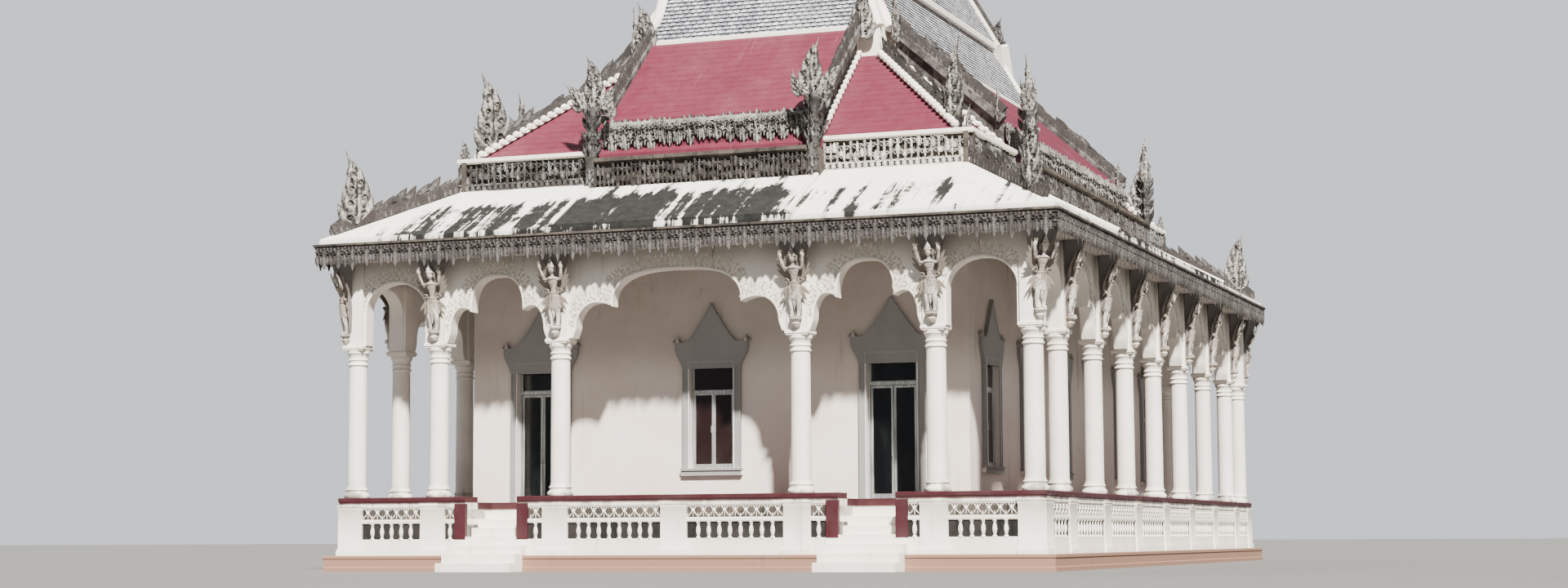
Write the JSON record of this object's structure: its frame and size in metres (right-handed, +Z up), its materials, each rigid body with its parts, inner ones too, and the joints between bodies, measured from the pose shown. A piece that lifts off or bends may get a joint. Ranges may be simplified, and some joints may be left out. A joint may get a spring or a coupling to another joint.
{
  "type": "buddhist temple",
  "caption": "Temple hall on a moulded plinth, ringed by an arcaded veranda, with glazed double doors and a tiered hipped roof rising to a steep gable.",
  "frame": {"origin": "on the ground, at the centre of the building", "axes": "+X to the right along the entrance front, +Y into the hall, +Z up"},
  "size_m": [16.46, 24, 18.61],
  "materials": {
    "white_plaster": "white painted render, chalky and stained",
    "cream_plaster": "cream painted render, matt",
    "pink_plaster": "faded pink render",
    "maroon_paint": "maroon floor paint on concrete",
    "aluminium_frame": "pale natural aluminium",
    "dark_glass": "dark tinted glass",
    "weathered_stucco": "carved cement ornament, grey with mildew",
    "white_roof": "white concrete roof with black mildew streaks",
    "red_tile": "faded maroon tiles",
    "white_tile": "white fish-scale tiles"
  },
  "bodies": {
    "root": {"base_step": "pink_plaster", "plinth": "white_plaster", "veranda_floor": "maroon_paint", "front_kerb": "maroon_paint", "back_kerb": "maroon_paint", "right_kerb": "maroon_paint", "left_kerb": "maroon_paint", "front_left_stair": "white_plaster", "front_right_stair": "white_plaster", "back_left_stair": "white_plaster", "back_right_stair": "white_plaster", "front_wall_left_end": "cream_plaster", "front_wall_over_left_door": "cream_plaster", "front_wall_centre": "cream_plaster", "front_wall_over_right_door": "cream_plaster", "front_wall_right_end": "cream_plaster", "back_wall": "cream_plaster", "right_wall": "cream_plaster", "left_wall": "cream_plaster", "front_window": "aluminium_frame", "right_window_sheet": "dark_glass", "left_window_sheet": "dark_glass", "back_wall_sheet": "dark_glass", "ceiling_slab": "cream_plaster", "eave_fascia": "weathered_stucco", "lower_roof": "white_roof", "parapet_band": "weathered_stucco", "red_roof": "red_tile", "white_tier": "white_tile", "gable_roof": "red_tile", "front_pediment": "weathered_stucco", "back_pediment": "weathered_stucco", "front_left_door_frame": "aluminium_frame", "front_left_corner_column": "white_plaster", "front_left_outer_column": "white_plaster", "front_left_inner_column": "white_plaster", "back_left_corner_column": "white_plaster", "back_left_outer_column": "white_plaster", "back_left_inner_column": "white_plaster", "left_arcade": "white_plaster", "front_right_door_frame": "aluminium_frame", "front_right_corner_column": "white_plaster", "front_right_outer_column": "white_plaster", "front_right_inner_column": "white_plaster", "back_right_corner_column": "white_plaster", "back_right_outer_column": "white_plaster", "back_right_inner_column": "white_plaster", "right_arcade": "white_plaster", "front_arcade": "white_plaster", "back_arcade": "white_plaster"},
    "left_door_left_leaf": {"front_left_door_left_leaf": "aluminium_frame"},
    "left_door_right_leaf": {"front_left_door_right_leaf": "aluminium_frame"},
    "right_door_left_leaf": {"front_right_door_left_leaf": "aluminium_frame"},
    "right_door_right_leaf": {"front_right_door_right_leaf": "aluminium_frame"}
  },
  "joints": [
    {"name": "left_door_left_leaf_hinge", "type": "hinge", "parent": "root", "child": "left_door_left_leaf", "pos_m": [-4.489, -8.96, 1.45], "axis": [0, 0, 1], "range_deg": [0, 90]},
    {"name": "left_door_right_leaf_hinge", "type": "hinge", "parent": "root", "child": "left_door_right_leaf", "pos_m": [-3.531, -8.96, 1.45], "axis": [0, 0, -1], "range_deg": [0, 90]},
    {"name": "right_door_left_leaf_hinge", "type": "hinge", "parent": "root", "child": "right_door_left_leaf", "pos_m": [3.531, -8.96, 1.45], "axis": [0, 0, 1], "range_deg": [0, 90]},
    {"name": "right_door_right_leaf_hinge", "type": "hinge", "parent": "root", "child": "right_door_right_leaf", "pos_m": [4.489, -8.96, 1.45], "axis": [0, 0, -1], "range_deg": [0, 90]}
  ]
}
